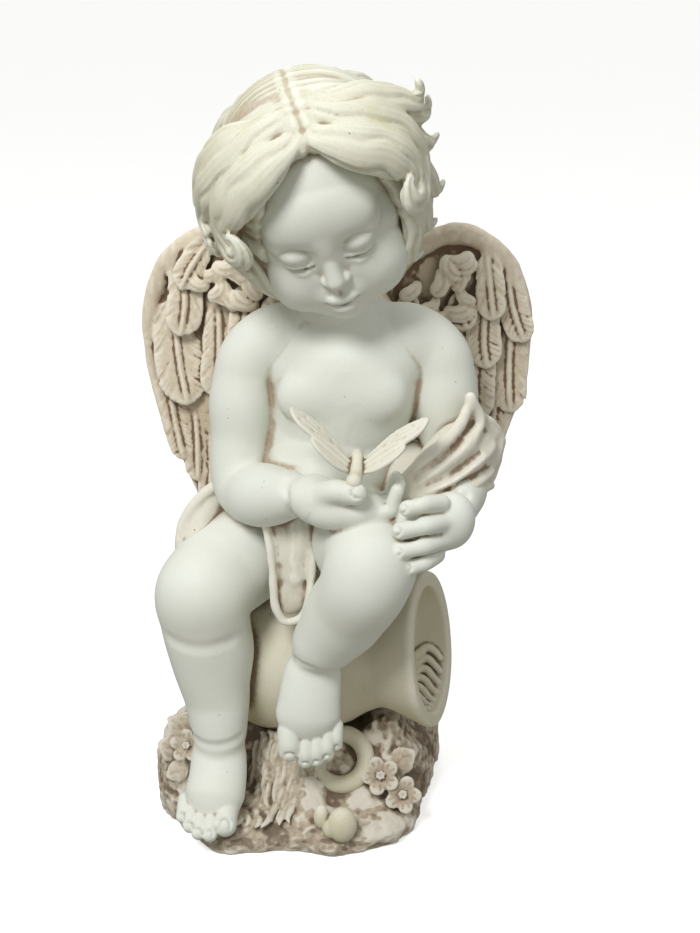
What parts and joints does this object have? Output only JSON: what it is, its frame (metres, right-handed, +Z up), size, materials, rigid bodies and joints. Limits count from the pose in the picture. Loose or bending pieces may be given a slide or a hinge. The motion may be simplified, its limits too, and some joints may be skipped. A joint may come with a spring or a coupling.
{
  "type": "garden statue",
  "caption": "Seated winged child of cast stone, a butterfly on one palm, on a jar lying on a rocky base.",
  "frame": {"origin": "flat underside of the base, below the middle of the jar", "axes": "+Z up, the figure faces -Y, and its left hand is to +X"},
  "size_m": [0.2258, 0.1701, 0.4411],
  "materials": {
    "stone": "matt pale cast stone with a brown wash"
  },
  "bodies": {
    "root": {"putto_statue": "stone"}
  },
  "joints": []
}
